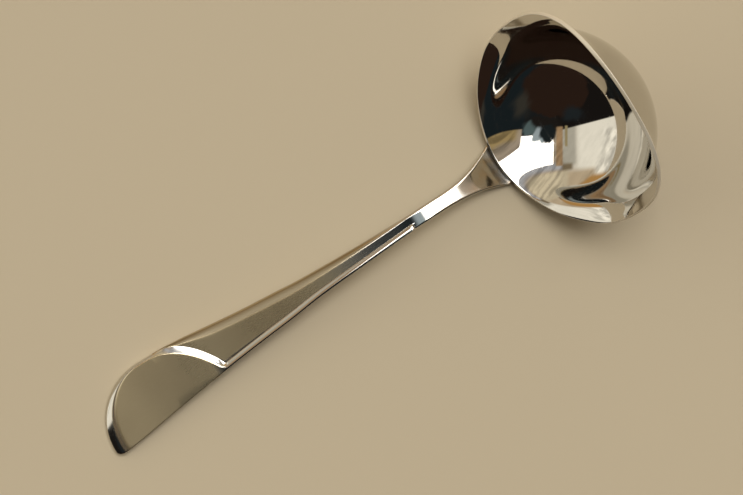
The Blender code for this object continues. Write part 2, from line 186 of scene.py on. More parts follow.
# Colours
STEEL = (0.645, 0.618, 0.57, 1.0)
SMUDGED_STEEL = (0.61, 0.585, 0.54, 1.0)
# Satin cut edge of the rim, partly a painted cream reflection
CUT_EDGE_AND_SHEEN = (0.74, 0.66, 0.52, 1.0)
# Painted shade for the rim's edge beside the weld
RIM_SHADE_STEEL = (0.035, 0.03, 0.025, 1.0)
WARM_STEEL = (0.545, 0.458, 0.292, 1.0)
WARM_LINES = (0.528, 0.441, 0.279, 1.0)
# Painted shade for the handle's left shoulder
SHOULDER_SHADE_STEEL = (0.30, 0.25, 0.17, 1.0)
HEAT_TINT = (0.62, 0.47, 0.30, 1.0)
WELD_DARK = (0.52, 0.42, 0.30, 1.0)
WELD_LIGHT = (0.62, 0.57, 0.52, 1.0)
FLOOR = (0.571, 0.488, 0.352, 1.0)


def mix(a, b, share):
    return a + (b - a) * share


def ease(share):
    share = min(max(share, 0.0), 1.0)
    return share * share * (3.0 - 2.0 * share)


def hermite(a, slope_a, b, slope_b, run, share):
    # A curve between two heights with given slopes
    square = share * share
    cube = square * share
    return ((2.0 * cube - 3.0 * square + 1.0) * a + (cube - 2.0 * square + share) * run * slope_a
            + (3.0 * square - 2.0 * cube) * b + (cube - square) * run * slope_b)


def through(points, at):
    # A smooth curve through points that never overshoots them
    if at <= points[0][0]:
        return points[0][1]
    if at >= points[-1][0]:
        return points[-1][1]
    steps = [(b[1] - a[1]) / (b[0] - a[0]) for a, b in zip(points, points[1:])]
    slopes = [steps[0]]
    for before, after in zip(steps, steps[1:]):
        slopes.append(0.0 if before * after <= 0.0 else 2.0 * before * after / (before + after))
    slopes.append(steps[-1])
    for index, (a, b) in enumerate(zip(points, points[1:])):
        if at <= b[0]:
            run = b[0] - a[0]
            return hermite(a[1], slopes[index], b[1], slopes[index + 1], run, (at - a[0]) / run)


# Bowl

def joint_from_centre():
    spot = wall_point(math.pi, 1.0)
    return spot.x * math.cos(MOUTH_TILT) - spot.z * math.sin(MOUTH_TILT)


def belly_depth():
    spots = [wall_point(math.pi, k / 200.0) for k in range(100, 200)]
    return -min(spot.x * math.sin(MOUTH_TILT) + spot.z * math.cos(MOUTH_TILT) for spot in spots)


def bowl_centre():
    along = BEND_RUN - joint_from_centre()
    return Vector((along * math.cos(BOWL_SET) - BEND_RUN, along * math.sin(BOWL_SET), belly_depth()))


def mouth_angle(side, near=0.0):
    drop = MOUTH_DROP + LIP_DIP * side - LIP_RISE * side ** 3 + NEAR_TRIM * near
    return math.acos(drop / BOWL_RADIUS)


def lip_reach(side):
    return LIP_SPREAD * side ** LIP_POWER - LIP_BLUNT * side ** BLUNT_POWER


def wall_point(turn, share):
    # A point of the outer wall: turn round the mouth's axis, share from the bottom to the rim
    ahead = math.cos(turn)
    across = math.sin(turn)
    side = across * across
    near = max(-ahead, 0.0) ** 3
    waist = (WAIST_PEAK * side * side * (1.0 - side)) ** 2 if ahead < 0.0 else 0.0
    curl = share ** (LIP_CURL + LIP_TIGHT * waist)
    angle = share * mouth_angle(side, near)
    radius = BOWL_RADIUS * math.sin(angle) + lip_reach(side) * curl
    radius += NEAR_SPREAD * near * share ** NEAR_CURL
    radius -= WAIST * waist * (share ** WAIST_START - share ** WAIST_END)
    shift = LIP_SHIFT * side * curl
    return Vector((radius * ahead + shift, radius * across, -BOWL_RADIUS * math.cos(angle)))


CENTRE = bowl_centre()


def bowl_place():
    turn = Euler((0.0, -MOUTH_TILT, BOWL_SET)).to_matrix().to_4x4()
    return Matrix.Translation(CENTRE) @ turn


def wall_frame(turn, share):
    # The point, the wall's direction towards the rim and its outward normal
    step = 0.0005
    spot = wall_point(turn, share)
    up = (wall_point(turn, share + step) - wall_point(turn, share - step)).normalized()
    if share < 2.0 * step:
        return spot, up, Vector((0.0, 0.0, -1.0))
    around = wall_point(turn + step, share) - wall_point(turn - step, share)
    return spot, up, around.cross(up).normalized()


def paint(mesh, values):
    # One number for each point, read by the material: the finish, and the places where shade and a
    # reflection are painted
    layer = mesh.attributes.new("worn", "FLOAT", "POINT")
    layer.data.foreach_set("value", values)


def new_piece(name, mesh, material):
    # A finer division is held inside the solids' box
    low, high = CAD_BOX
    for point in mesh.vertices:
        point.co = [min(max(value, a), b) for value, a, b in zip(point.co, low, high)]
    mesh.materials.append(material)
    piece = bpy.data.objects.new(name, mesh)
    bpy.context.scene.collection.objects.link(piece)
    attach(piece, "root")
    return piece


def make_bowl(material):
    shell = bmesh.new()
    rows = []
    rims = []
    shares = [1.0 - (1.0 - k / RINGS) ** RING_CROWDING for k in range(1, RINGS)]
    end = 1.0 - RIM_ROUND / (BOWL_RADIUS * mouth_angle(0.0))
    shares = [share for share in shares if share < end - RING_CLEAR] + [end]
    for spoke in range(SPOKES):
        turn = 2.0 * math.pi * spoke / SPOKES
        frames = [wall_frame(turn, share) for share in shares]
        row = [spot for spot, up, out in frames]
        spot, up, out = frames[-1]
        for k in range(1, RIM_STEPS + 1):
            angle = math.pi / 2.0 * k / RIM_STEPS
            row.append(spot - out * RIM_ROUND * (1.0 - math.cos(angle)) + up * RIM_ROUND * math.sin(angle))
        row.append(spot - out * BOWL_SHEET / 2.0 + up * RIM_ROUND)
        for k in range(RIM_STEPS):
            angle = math.pi / 2.0 * k / RIM_STEPS
            inner = BOWL_SHEET - RIM_ROUND * (1.0 - math.sin(angle))
            row.append(spot - out * inner + up * RIM_ROUND * math.cos(angle))
        row += [spot - out * BOWL_SHEET for spot, up, out in reversed(frames)]
        rows.append([shell.verts.new(spot) for spot in row])
        last = len(row) - len(frames)
        # Painted shade: the rim's edge is darkened beside the weld
        rim_shade = ease((RIM_SHADE_HALF - abs(turn - math.pi)) / RIM_SHADE_FADE)
        rims += [1.0 + rim_shade if len(frames) <= k < last else 0.0 for k in range(len(row))]
    bottom = shell.verts.new((0.0, 0.0, -BOWL_RADIUS))
    inside = shell.verts.new((0.0, 0.0, BOWL_SHEET - BOWL_RADIUS))
    for a, b in zip(rows, rows[1:] + rows[:1]):
        shell.faces.new((bottom, b[0], a[0]))
        shell.faces.new((inside, a[-1], b[-1]))
        for k in range(len(a) - 1):
            shell.faces.new((a[k], b[k], b[k + 1], a[k + 1]))
    bmesh.ops.recalc_face_normals(shell, faces=shell.faces)
    for face in shell.faces:
        face.smooth = True
    mesh = bpy.data.meshes.new("bowl_shell")
    shell.to_mesh(mesh)
    shell.free()
    paint(mesh, rims + [0.0, 0.0])
    mesh.transform(Matrix.Translation(JOINT) @ bowl_place())
    bowl = new_piece("bowl_shell", mesh, material)
    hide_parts("bowl")


# Handle

WALL_STEPS = 6


def wall_height(x, y, away):
    # Height of the surface that lies outside the near wall by the distance away
    # A few Newton steps find the turn and the share that lie at x and y
    place = bowl_place()
    step = 0.002

    def outside(turn, share):
        spot, up, out = wall_frame(turn, share)
        return place @ (spot + out * away)

    turn = math.pi
    share = 1.0
    for _ in range(WALL_STEPS):
        spot = outside(turn, share)
        by_turn = (outside(turn + step, share) - spot) / step
        by_share = (outside(turn, share + step) - spot) / step
        area = by_turn.x * by_share.y - by_turn.y * by_share.x
        turn += ((x - spot.x) * by_share.y - (y - spot.y) * by_share.x) / area
        share += (by_turn.x * (y - spot.y) - by_turn.y * (x - spot.x)) / area
    return outside(turn, share).z


def centre_line(run):
    return math.tan(BOWL_SET) * max(BEND_RUN - max(run, 0.0), 0.0)


JOINT_HEIGHT = wall_height(0.0, centre_line(0.0), GAP)


def arch_points():
    # Run, height and slope: steep at the bowl, a tight crest above the strip's nose, then nearly straight
    points = []
    height = JOINT_HEIGHT
    for run, degrees in ARCH_SLOPES:
        slope = math.tan(math.radians(degrees))
        if points:
            height += (run - points[-1][0]) * (slope + points[-1][2]) / 2.0
        points.append((run, height, slope))
    return points


ARCH = arch_points()


def grip_share(run):
    return (run - STEP_RUN) / (HANDLE_LENGTH - STEP_RUN)


def fan_half(run):
    # Half the width of the lap, the fan and the neck
    if run < 0.0:
        return FAN_WIDTH / 2.0 * math.sqrt(1.0 - (run / FAN_END) ** 2)
    open_share = max(1.0 - run / NECK_RUN, 0.0)
    return NECK_WIDTH / 2.0 + (FAN_WIDTH - NECK_WIDTH) / 2.0 * open_share ** FAN_CURVE


def quarter(share):
    # Height of a quarter circle, from 1 down to 0
    return math.sqrt(max(1.0 - min(max(share, 0.0), 1.0) ** 2, 0.0))


def roll(share):
    return 1.0 - quarter(share)


def rim_roll(share):
    # The rim falls a little, stays level for a moment and then rolls over the edge
    share = min(max(share, 0.0), 1.0)
    dip = RIM_DIP * ease(share / RIM_DIP_END)
    sloped = max((share - RIM_SLOPE_START) / (1.0 - RIM_SLOPE_START), 0.0)
    return dip + RIM_SLOPE * sloped ** RIM_SLOPE_CURVE + RIM_EDGE * roll(share ** 3)


def end_edge(run, share):
    # Left border of the rounded end: share 0 where the rim begins, 1 at the outline
    long_axis = END_ROUND - END_ROLL * (1.0 - share)
    wide_axis = GRIP_LEFT[-1][1] + END_OFFSET - PAD_ROLL * (1.0 - share)
    return wide_axis * quarter((run - END_START) / long_axis) - END_OFFSET


def end_share(run, y):
    # Halving finds the share of the border that runs through a point
    low = 0.0
    high = 1.0
    for _ in range(24):
        share = (low + high) / 2.0
        if end_edge(run, share) < max(y, 0.001 * MM - END_OFFSET):
            low = share
        else:
            high = share
    return high


def left_edge(run):
    if run < STEP_RUN:
        return mix(fan_half(run), GRIP_LEFT[0][1], ease((run - NECK_RUN) / (STEP_RUN - NECK_RUN)))
    if run > END_START:
        return end_edge(run, 1.0)
    return through(GRIP_LEFT, grip_share(run))


def right_edge(run):
    if run < STEP_RUN:
        return mix(fan_half(run), GRIP_RIGHT[0][1], ease((run - NECK_RUN) / (STEP_RUN - NECK_RUN)))
    corner = through(GRIP_RIGHT, grip_share(run))
    tip_share = quarter((run - HANDLE_LENGTH + TIP_ROUND) / TIP_ROUND)
    return mix(END_OFFSET, corner, tip_share) if run > HANDLE_LENGTH - TIP_ROUND else corner


def pad_height(run):
    return END_HEIGHT + (HANDLE_LENGTH - run) * math.tan(PAD_SLOPE)


def face_height(run):
    # The main face, which lies lower than the strip and the pad by the step
    if run >= PAD_START:
        return pad_height(run) - STEP_HEIGHT
    if run <= 0.0:
        return wall_height(-run, centre_line(0.0), GAP)
    low = pad_height(PAD_START) - STEP_HEIGHT
    arch = ARCH + [(PAD_START, low, -math.tan(PAD_SLOPE))]
    for (start, height, slope), (stop, next_height, next_slope) in zip(arch, arch[1:]):
        if run <= stop:
            span = stop - start
            return hermite(height, slope, next_height, next_slope, span, (run - start) / span)


def under_height(run):
    thickness = through([(-LAP_LENGTH, LAP_THICKNESS), (0.0, JOINT_THICKNESS), (NECK_RUN, NECK_THICKNESS),
                         (2.0 * STEP_RUN, GRIP_THICKNESS)], run)
    if run <= PAD_START:
        return face_height(run) - thickness
    start = face_height(PAD_START) - GRIP_THICKNESS
    share = min((run - PAD_START) / (PAD_LENGTH - REST_LENGTH), 1.0)
    return start * (1.0 - share) ** 2


def pad_arc(run, start, start_y, apex, apex_y):
    # The pad's curved border, from the strip to the left edge
    return apex_y - (apex_y - start_y) * (max(apex - run, 0.0) / (apex - start)) ** PAD_CURVE


def ramp_foot(run):
    # Lower border of the ramp from the main face up to the strip and the pad
    if run <= PAD_START:
        return STRIP_WIDTH + STRIP_RAMP / 2.0 - right_edge(run)
    start_y = STRIP_WIDTH + STRIP_RAMP / 2.0 - right_edge(PAD_START)
    apex = PAD_START + PAD_ARC
    return pad_arc(run, PAD_START, start_y, apex, left_edge(apex))


def ramp_top(run):
    start = PAD_START + ARC_LAG * PAD_RAMP
    if run <= start:
        return STRIP_WIDTH - STRIP_RAMP / 2.0 - right_edge(run)
    apex = PAD_START + PAD_ARC + PAD_RAMP
    start_y = STRIP_WIDTH - STRIP_RAMP / 2.0 - right_edge(start)
    return pad_arc(run, start, start_y, apex, GRIP_LEFT[-1][1] - PAD_ROLL)


def border_rise(run):
    # The strip's nose rises in a quarter round
    return STEP_HEIGHT * quarter(1.0 - (run - STEP_RUN) / STEP_NOSE) if run > STEP_RUN else 0.0


# Counts of points across the handle, and of sections at its end
ROUND_STEPS = 6
STRIP_STEPS = 6
FACE_STEPS = 10
SHOULDER_STEPS = 14
UNDER_STEPS = 5
END_STEPS = 48
FILLET_STEPS = 4


def turns(steps):
    return [math.pi / 2.0 * k / steps for k in range(steps + 1)]


def inner_shares(steps):
    return [k / steps for k in range(1, steps)]


def fillet(before, corner, after, size):
    # The corner's two sides are joined by a small curve
    before = Vector(before)
    corner = Vector(corner)
    after = Vector(after)
    start = corner + (before - corner).normalized() * min(size, FILLET_LIMIT * (before - corner).length)
    stop = corner + (after - corner).normalized() * min(size, FILLET_LIMIT * (after - corner).length)
    points = []
    for k in range(FILLET_STEPS + 1):
        share = k / FILLET_STEPS
        spot = (1.0 - share) ** 2 * start + 2.0 * share * (1.0 - share) * corner + share ** 2 * stop
        points.append((spot.x, spot.y))
    return points


def neck_top(run):
    # Upper side of a section from right to left: edge, strip, ramp, main face, left shoulder
    left = left_edge(run)
    right = right_edge(run)
    face = face_height(run)
    under = under_height(run)
    side = mix(under, face, SIDE_SHARE)
    rise = border_rise(run)
    foot = ramp_foot(run)
    top = ramp_top(run)
    if run < STEP_RUN + STEP_NOSE:
        edge = mix(NECK_ROUND, EDGE_ROUND, max(run - STEP_RUN, 0.0) / STEP_NOSE)
        shoulder = mix(NECK_ROUND, SHOULDER[0][1], ease(run / STEP_RUN))
    else:
        edge = EDGE_ROUND
        shoulder = through(SHOULDER, grip_share(run))
    edge = min(edge, EDGE_LIMIT * (face - under))
    foot = max(foot, edge + FOOT_CLEAR - right)
    top = max(top, edge + TOP_CLEAR - right)
    shoulder = min(shoulder, SHOULDER_LIMIT * (left - foot))
    points = []
    for turn in turns(ROUND_STEPS):
        points.append((-right + edge * (1.0 - math.cos(turn)), face + rise - edge * (1.0 - math.sin(turn))))
    start = edge - right
    pad_share = (run - PAD_START) / (ARC_LAG * PAD_RAMP)
    # The strip is crowned, so that its top leans towards the main face
    width = min(top - start, STRIP_WIDTH)
    crown = STRIP_CROWN / MM * width * width * (1.0 - ease(pad_share)) * min(rise / STEP_HEIGHT, 1.0)
    for share in inner_shares(STRIP_STEPS):
        points.append((mix(start, top, share), face + rise - crown * share * share))
    chamfer_y = mix(foot, top, STRIP_FOOT_SHARE)
    middle = (chamfer_y, face + max(rise - STRIP_CHAMFER - 0.5 * crown, 0.0))
    if pad_share >= 0.0:
        strip_foot = min(STRIP_WIDTH + STRIP_RAMP / 2.0 - right, chamfer_y)
        middle = (max(strip_foot, mix(foot, top, RAMP_SHARE)), face + RAMP_SHARE * rise * pad_share)
    if pad_share >= 1.0:
        middle = (mix(foot, top, RAMP_SHARE), face + RAMP_SHARE * rise)
    inner = left - shoulder
    corners = [points[-1], (top, face + rise - crown), middle, (foot, face),
               (mix(foot, inner, 1.0 / FACE_STEPS), face)]
    ramp = []
    for before, corner, after in zip(corners, corners[1:], corners[2:]):
        ramp += fillet(before, corner, after, RAMP_FILLET)
    # Along the pad the ramp is a soft wave instead of a chamfer
    wave = ease((pad_share - WAVE_START) / WAVE_LENGTH)
    for k, (y, z) in enumerate(ramp):
        share = k / (len(ramp) - 1)
        fall = max((share - RAMP_LEVEL) / (1.0 - RAMP_LEVEL), 0.0)
        soft = (mix(top, foot, share), face + rise * (1.0 - fall))
        points.append((mix(y, soft[0], wave), mix(z, soft[1], wave)))
    for share in inner_shares(FACE_STEPS):
        points.append((mix(foot, inner, share), face))
    for turn in turns(SHOULDER_STEPS):
        points.append((inner + shoulder * math.sin(turn), face - (face - side) * roll(math.sin(turn))))
    return points


# Places in a section's row of points
RAMP_START = ROUND_STEPS + STRIP_STEPS
RAMP_END = RAMP_START + 3 * (FILLET_STEPS + 1) - 1
TOP_POINTS = RAMP_END + FACE_STEPS + SHOULDER_STEPS + 1


def end_top(run):
    # Upper side of a section of the half-moon, with as many points
    right = right_edge(run)
    under = under_height(run)
    pad = pad_height(run)
    side = mix(under, pad, SIDE_SHARE)
    left = left_edge(run)
    inner = end_edge(run, 0.0) if run > END_START else left - PAD_ROLL

    def height(y):
        if run <= END_START:
            return pad - (pad - side) * rim_roll((y - inner) / PAD_ROLL)
        return pad - (pad - side) * rim_roll(end_share(run, y))

    edge = min(EDGE_ROUND, END_EDGE_LIMIT * (height(-right) - under), TIP_LIMIT * (left + right))
    points = []
    for turn in turns(ROUND_STEPS):
        y = -right + edge * (1.0 - math.cos(turn))
        points.append((y, height(y) - edge * (1.0 - math.sin(turn))))
    start = max(inner, edge - right)
    for share in inner_shares(STRIP_STEPS):
        y = mix(edge - right, start, share)
        points.append((y, height(y)))
    steps = TOP_POINTS - len(points) - 1
    for step in range(steps + 1):
        y = mix(start, left, math.sin(step / steps * math.pi / 2.0))
        points.append((y, height(y) if step < steps else side))
    return points


def section(run):
    left = left_edge(run)
    right = right_edge(run)
    under = under_height(run)
    blend = ease((run - PAD_START - END_BLEND) / (PAD_ARC / 2.0))
    points = neck_top(run) if blend < 1.0 else end_top(run)
    if 0.0 < blend < 1.0:
        points = [(mix(y, end_y, blend), mix(z, end_z, blend))
                  for (y, z), (end_y, end_z) in zip(points, end_top(run))]
    low = min(UNDER_ROUND, UNDER_LEFT_LIMIT * (points[-1][1] - under),
              UNDER_RIGHT_LIMIT * (points[0][1] - under), TIP_LIMIT * (left + right))
    for turn in turns(ROUND_STEPS):
        points.append((left - low * (1.0 - math.cos(turn)), under + low * (1.0 - math.sin(turn))))
    for share in inner_shares(UNDER_STEPS):
        points.append((mix(left - low, low - right, share), under))
    for turn in reversed(turns(ROUND_STEPS)):
        points.append((-right + low * (1.0 - math.cos(turn)), under + low * (1.0 - math.sin(turn))))
    return points


def stations():
    # Runs of the sections: start, end and count of each span
    nose_end = STEP_RUN + STEP_NOSE
    before_pad = PAD_START - 2.0 * MM
    arc_end = PAD_START + PAD_ARC
    spans = [(-LAP_LENGTH, 0.0, 8), (0.0, NECK_RUN, 30), (NECK_RUN, STEP_RUN, 14), (STEP_RUN, nose_end, 12),
             (nose_end, before_pad, 60), (before_pad, PAD_START, 6), (PAD_START, arc_end, 90),
             (arc_end, END_START, 8)]
    runs = []
    for start, stop, count in spans:
        runs += [mix(start, stop, k / count) for k in range(count)]
    return runs + [END_START + (END_ROUND - TIP_FLAT) * math.sin(turn) for turn in turns(END_STEPS)]


def polish(run, k, z):
    # 1 where the handle is smooth and bright, 0 on its brushed faces, down to -1 on its left shoulder,
    # which is rougher and painted darker as shade
    beyond = run - PAD_START
    if k >= TOP_POINTS:
        return UNDER_SHINE
    end = ease((beyond - END_BLEND) / (PAD_ARC / 2.0))
    bright = 0.0
    if k < RAMP_START:
        bright = 1.0 - ease(beyond / PAD_RAMP)
    elif k <= RAMP_END:
        share = (k - RAMP_START) / (RAMP_END - RAMP_START)
        bright = (1.0 - end) * mix(1.0, ease((share - RAMP_DULL) / RAMP_FADE), ease(beyond / PAD_RAMP))
    if end < 0.5 and k > RAMP_END:
        drop = face_height(run) - z
        lit = EDGE_SHINE * ease((drop - SHOULDER_SHADE_DEPTH) / SHOULDER_FADE)
        # Down to -1 just below the face: the left shoulder's painted shade
        return lit - ease(drop / SHOULDER_SOFT)
    on_pad = beyond > 0.0 and (k < RAMP_START or end > 0.5)
    level = pad_height(run) if on_pad else face_height(run)
    return max(bright, ease((level - z) / EDGE_BRIGHT))


def make_handle(material):
    loft = bmesh.new()
    rings = []
    shine_and_shade = []
    runs = stations()
    for run in runs:
        middle = centre_line(run)
        # The fan is cupped like the wall that it lies against, and flattens out along the neck
        hug = 1.0 - ease(run / HUG_RUN)
        reach = max(-run, 0.0)
        level = wall_height(reach, middle, GAP) if hug > 0.0 else 0.0
        ring = []
        for k, (y, z) in enumerate(section(run)):
            shine_and_shade.append(polish(run, k, z))
            cup = wall_height(reach, middle + y, GAP) - level if hug > 0.0 else 0.0
            ring.append(loft.verts.new((-run, middle + y, z + hug * cup)))
        rings.append(ring)
    count = len(rings[0])
    for a, b in zip(rings, rings[1:]):
        for k in range(count):
            n = (k + 1) % count
            loft.faces.new((a[k], a[n], b[n], b[k]))
    loft.faces.new(rings[0])
    loft.faces.new(list(reversed(rings[-1])))
    bmesh.ops.recalc_face_normals(loft, faces=loft.faces)
    for edge in loft.edges:
        edge.smooth = not (edge.is_manifold and edge.calc_face_angle() > SHARP_ANGLE)
    for face in loft.faces:
        face.smooth = True
    mesh = bpy.data.meshes.new("handle_forging")
    loft.to_mesh(mesh)
    loft.free()
    paint(mesh, shine_and_shade)
    mesh.transform(Matrix.Translation(JOINT))
    handle = new_piece("handle_forging", mesh, material)
    normals = handle.modifiers.new("normals", "WEIGHTED_NORMAL")
    normals.keep_sharp = True
    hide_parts("handle")


def make_weld(material):
    away = GAP + BEAD_RADIUS
    reach = LAP_LENGTH + away
    middle = centre_line(0.0)
    half = fan_half(-LAP_LENGTH)
    bead = bmesh.new()
    rings = []
    for k in range(BEAD_POINTS):
        share = 2.0 * k / (BEAD_POINTS - 1) - 1.0
        y = middle + share * half
        spot = Vector((reach, y, wall_height(reach, y, away)))
        # Ripples of the weld pool, one for every two stations
        size = BEAD_RADIUS * mix(1.0, BEAD_END_SHARE, share ** 4) * (1.0 - BEAD_RIPPLE * (k % 2))
        ring = []
        for n in range(BEAD_SIDES):
            turn = 2.0 * math.pi * n / BEAD_SIDES
            out = Vector((size * math.cos(turn), 0.0, size * math.sin(turn)))
            ring.append(bead.verts.new(spot + out))
        rings.append(ring)
    for a, b in zip(rings, rings[1:]):
        for n in range(BEAD_SIDES):
            m = (n + 1) % BEAD_SIDES
            bead.faces.new((a[n], a[m], b[m], b[n]))
    bead.faces.new(rings[0])
    bead.faces.new(list(reversed(rings[-1])))
    bmesh.ops.recalc_face_normals(bead, faces=bead.faces)
    for face in bead.faces:
        face.smooth = True
    mesh = bpy.data.meshes.new("weld_seam")
    bead.to_mesh(mesh)
    bead.free()
    mesh.transform(Matrix.Translation(JOINT))
    weld = new_piece("weld_seam", mesh, material)
    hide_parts("weld_bead")


# Materials

class Nodes:
    """Short calls for a material's or the world's nodes."""

    def __init__(self, owner):
        owner.use_nodes = True
        self.tree = owner.node_tree
        self.tree.nodes.clear()

    def add(self, kind, **settings):
        node = self.tree.nodes.new(kind)
        for key, value in settings.items():
            setattr(node, key, value)
        return node

    def put(self, value, socket):
        if isinstance(value, bpy.types.NodeSocket):
            self.tree.links.new(value, socket)
        else:
            socket.default_value = value

    def math(self, operation, *values):
        node = self.add("ShaderNodeMath", operation=operation)
        for value, socket in zip(values, node.inputs):
            self.put(value, socket)
        return node.outputs[0]

    def ramp(self, value, low, high, to_low=0.0, to_high=1.0, smooth=True):
        node = self.add("ShaderNodeMapRange", interpolation_type="SMOOTHSTEP" if smooth else "LINEAR")
        names = ("Value", "From Min", "From Max", "To Min", "To Max")
        for name, item in zip(names, (value, low, high, to_low, to_high)):
            self.put(item, node.inputs[name])
        return node.outputs["Result"]

    def blend(self, share, a, b):
        node = self.add("ShaderNodeMix", data_type="RGBA")
        self.put(share, node.inputs[0])
        self.put(a, node.inputs[6])
        self.put(b, node.inputs[7])
        return node.outputs[2]

    def times(self, a, b):
        return self.math("MULTIPLY", a, b)

    def plus(self, a, b):
        return self.math("ADD", a, b)

    def minus(self, a, b):
        return self.math("SUBTRACT", a, b)

    def worn(self):
        return self.add("ShaderNodeAttribute", attribute_name="worn").outputs["Fac"]

    def split(self, vector):
        node = self.add("ShaderNodeSeparateXYZ")
        self.put(vector, node.inputs[0])
        return node.outputs

    def noise(self, vector, scale, detail=3.0, roughness=0.5):
        node = self.add("ShaderNodeTexNoise")
        self.put(vector, node.inputs["Vector"])
        node.inputs["Scale"].default_value = scale
        node.inputs["Detail"].default_value = detail
        node.inputs["Roughness"].default_value = roughness
        return node.outputs["Fac"]

    def stretch(self, vector, scale, turn=(0.0, 0.0, 0.0)):
        node = self.add("ShaderNodeMapping")
        self.put(vector, node.inputs["Vector"])
        node.inputs["Rotation"].default_value = turn
        node.inputs["Scale"].default_value = scale
        return node.outputs["Vector"]

    def bump(self, height, strength, distance):
        node = self.add("ShaderNodeBump")
        node.inputs["Strength"].default_value = strength
        node.inputs["Distance"].default_value = distance
        self.put(height, node.inputs["Height"])
        return node.outputs["Normal"]


def steel(name, build):
    material = bpy.data.materials.new(name)
    nodes = Nodes(material)
    shader = nodes.add("ShaderNodeBsdfPrincipled")
    shader.inputs["Metallic"].default_value = 1.0
    out = nodes.add("ShaderNodeOutputMaterial")
    nodes.put(shader.outputs["BSDF"], out.inputs["Surface"])
    spot = nodes.add("ShaderNodeTexCoord").outputs["Object"]
    for socket, value in build(nodes, spot).items():
        nodes.put(value, shader.inputs[socket])
    return material


def polished(nodes, spot):
    # The bowl is a mirror with faint smudges and hairlines
    # The cut edge of its rim is satin and partly cream as a painted reflection, and painted dark as shade
    # at the weld
    smudge = nodes.noise(spot, 90.0, 4.0, 0.55)
    fine = nodes.noise(nodes.stretch(spot, (1.0, 1.0, 0.15)), 2600.0, 2.0)
    worn = nodes.worn()
    edge = nodes.ramp(worn, 0.0, 1.0, smooth=False)
    rim_shade = nodes.ramp(worn, 1.0, 2.0)
    rough = nodes.plus(nodes.ramp(smudge, 0.45, 0.75, 0.035, 0.075), nodes.times(edge, 0.42))
    for turn in (0.4, 1.9):
        hairs = nodes.noise(nodes.stretch(spot, (1.0, 0.04, 1.0), (0.0, 0.9, turn)), 1400.0, 1.0)
        rough = nodes.plus(rough, nodes.ramp(hairs, 0.66, 0.72, 0.0, 0.06))
    colour = nodes.blend(nodes.ramp(smudge, 0.35, 0.7), STEEL, SMUDGED_STEEL)
    # Painted reflection: the rim's cut edge is cream and less metallic
    colour = nodes.blend(nodes.times(edge, 0.8), colour, CUT_EDGE_AND_SHEEN)
    # Painted shade: the rim's edge turns nearly black beside the weld
    colour = nodes.blend(rim_shade, colour, RIM_SHADE_STEEL)
    metal = nodes.ramp(edge, 0.0, 1.0, 1.0, 0.35)
    return {"Base Color": colour, "Metallic": metal, "Roughness": rough,
            "Normal": nodes.bump(fine, 0.02, 0.02 * MM)}


# Runs between which the handle's finish and the painted shade on its left shoulder change
SHOULDER_SHADE_RUNS = (STEP_RUN, STEP_RUN + 24.0 * MM)
SATIN_RUNS = (STEP_RUN + 3.0 * MM, STEP_RUN + 34.0 * MM)
NECK_RUNS = (STEP_RUN - 1.0 * MM, STEP_RUN + 6.0 * MM)
SCALED_RUNS = (3.5 * MM, 0.5 * MM)
PAD_RUNS = (100.0 * MM, 122.0 * MM)
HEAT_RUNS = (12.0 * MM, 0.0)


def brushed(nodes, spot):
    # The neck and the edges are bright; the grip's faces are brushed with fine lines and look warmer, and
    # its left shoulder is painted darker as shade
    along = nodes.minus(JOINT.x, nodes.split(spot)["X"])
    bright = nodes.worn()
    face = nodes.minus(1.0, bright)
    shoulder_shade = nodes.times(nodes.ramp(bright, 0.0, -0.8), nodes.ramp(along, *SHOULDER_SHADE_RUNS))
    grip = nodes.times(face, nodes.ramp(along, *SATIN_RUNS))
    lines = nodes.noise(nodes.stretch(spot, (0.4, 6.0, 1.0)), 1500.0, 2.0, 0.5)
    patches = nodes.noise(spot, 60.0, 3.0)
    satin = nodes.ramp(lines, 0.3, 0.7, 0.268, 0.284)
    satin = nodes.plus(satin, nodes.ramp(patches, 0.3, 0.7, -0.01, 0.01))
    plain = nodes.ramp(along, *NECK_RUNS, 0.05, 0.10)
    plain = nodes.plus(plain, nodes.ramp(along, *SCALED_RUNS, 0.0, 0.2))
    # The pad is duller towards its end
    satin = nodes.plus(satin, nodes.ramp(along, *PAD_RUNS, 0.0, 0.06))
    rough = nodes.plus(plain, nodes.times(grip, nodes.minus(satin, plain)))
    warm = nodes.blend(nodes.ramp(lines, 0.3, 0.7), WARM_STEEL, WARM_LINES)
    colour = nodes.blend(grip, STEEL, warm)
    # Painted shade: the left shoulder's colour is darkened along the grip
    colour = nodes.blend(shoulder_shade, colour, SHOULDER_SHADE_STEEL)
    # Heat of the weld has tinted the fan next to the bowl
    mottle = nodes.noise(spot, 420.0, 3.0, 0.6)
    heat = nodes.times(nodes.ramp(along, *HEAT_RUNS), nodes.ramp(mottle, 0.42, 0.62))
    colour = nodes.blend(nodes.times(heat, 0.75), colour, HEAT_TINT)
    return {"Base Color": colour, "Roughness": rough, "Normal": nodes.bump(lines, 0.02, 0.01 * MM)}


def weld_steel(nodes, spot):
    tint = nodes.noise(spot, 700.0, 3.0)
    colour = nodes.blend(nodes.ramp(tint, 0.35, 0.65), WELD_DARK, WELD_LIGHT)
    return {"Base Color": colour, "Roughness": nodes.ramp(tint, 0.3, 0.7, 0.25, 0.45),
            "Normal": nodes.bump(tint, 0.3, 0.05 * MM)}


# Stage

FLOOR_HALF = 3.0
FLOOR_DROP = 0.02 * MM
CAMERA_PLACE = Vector((-21.4, 13.8, 599.3)) * MM
CAMERA_TARGET = Vector((3.07, -1.49, 0.0)) * MM
CAMERA_LENS = 106.1
# Directions of the render's right and lower side on the floor
RIGHT = (0.848, -0.530, 0.0)
DOWN = (-0.530, -0.848, 0.0)


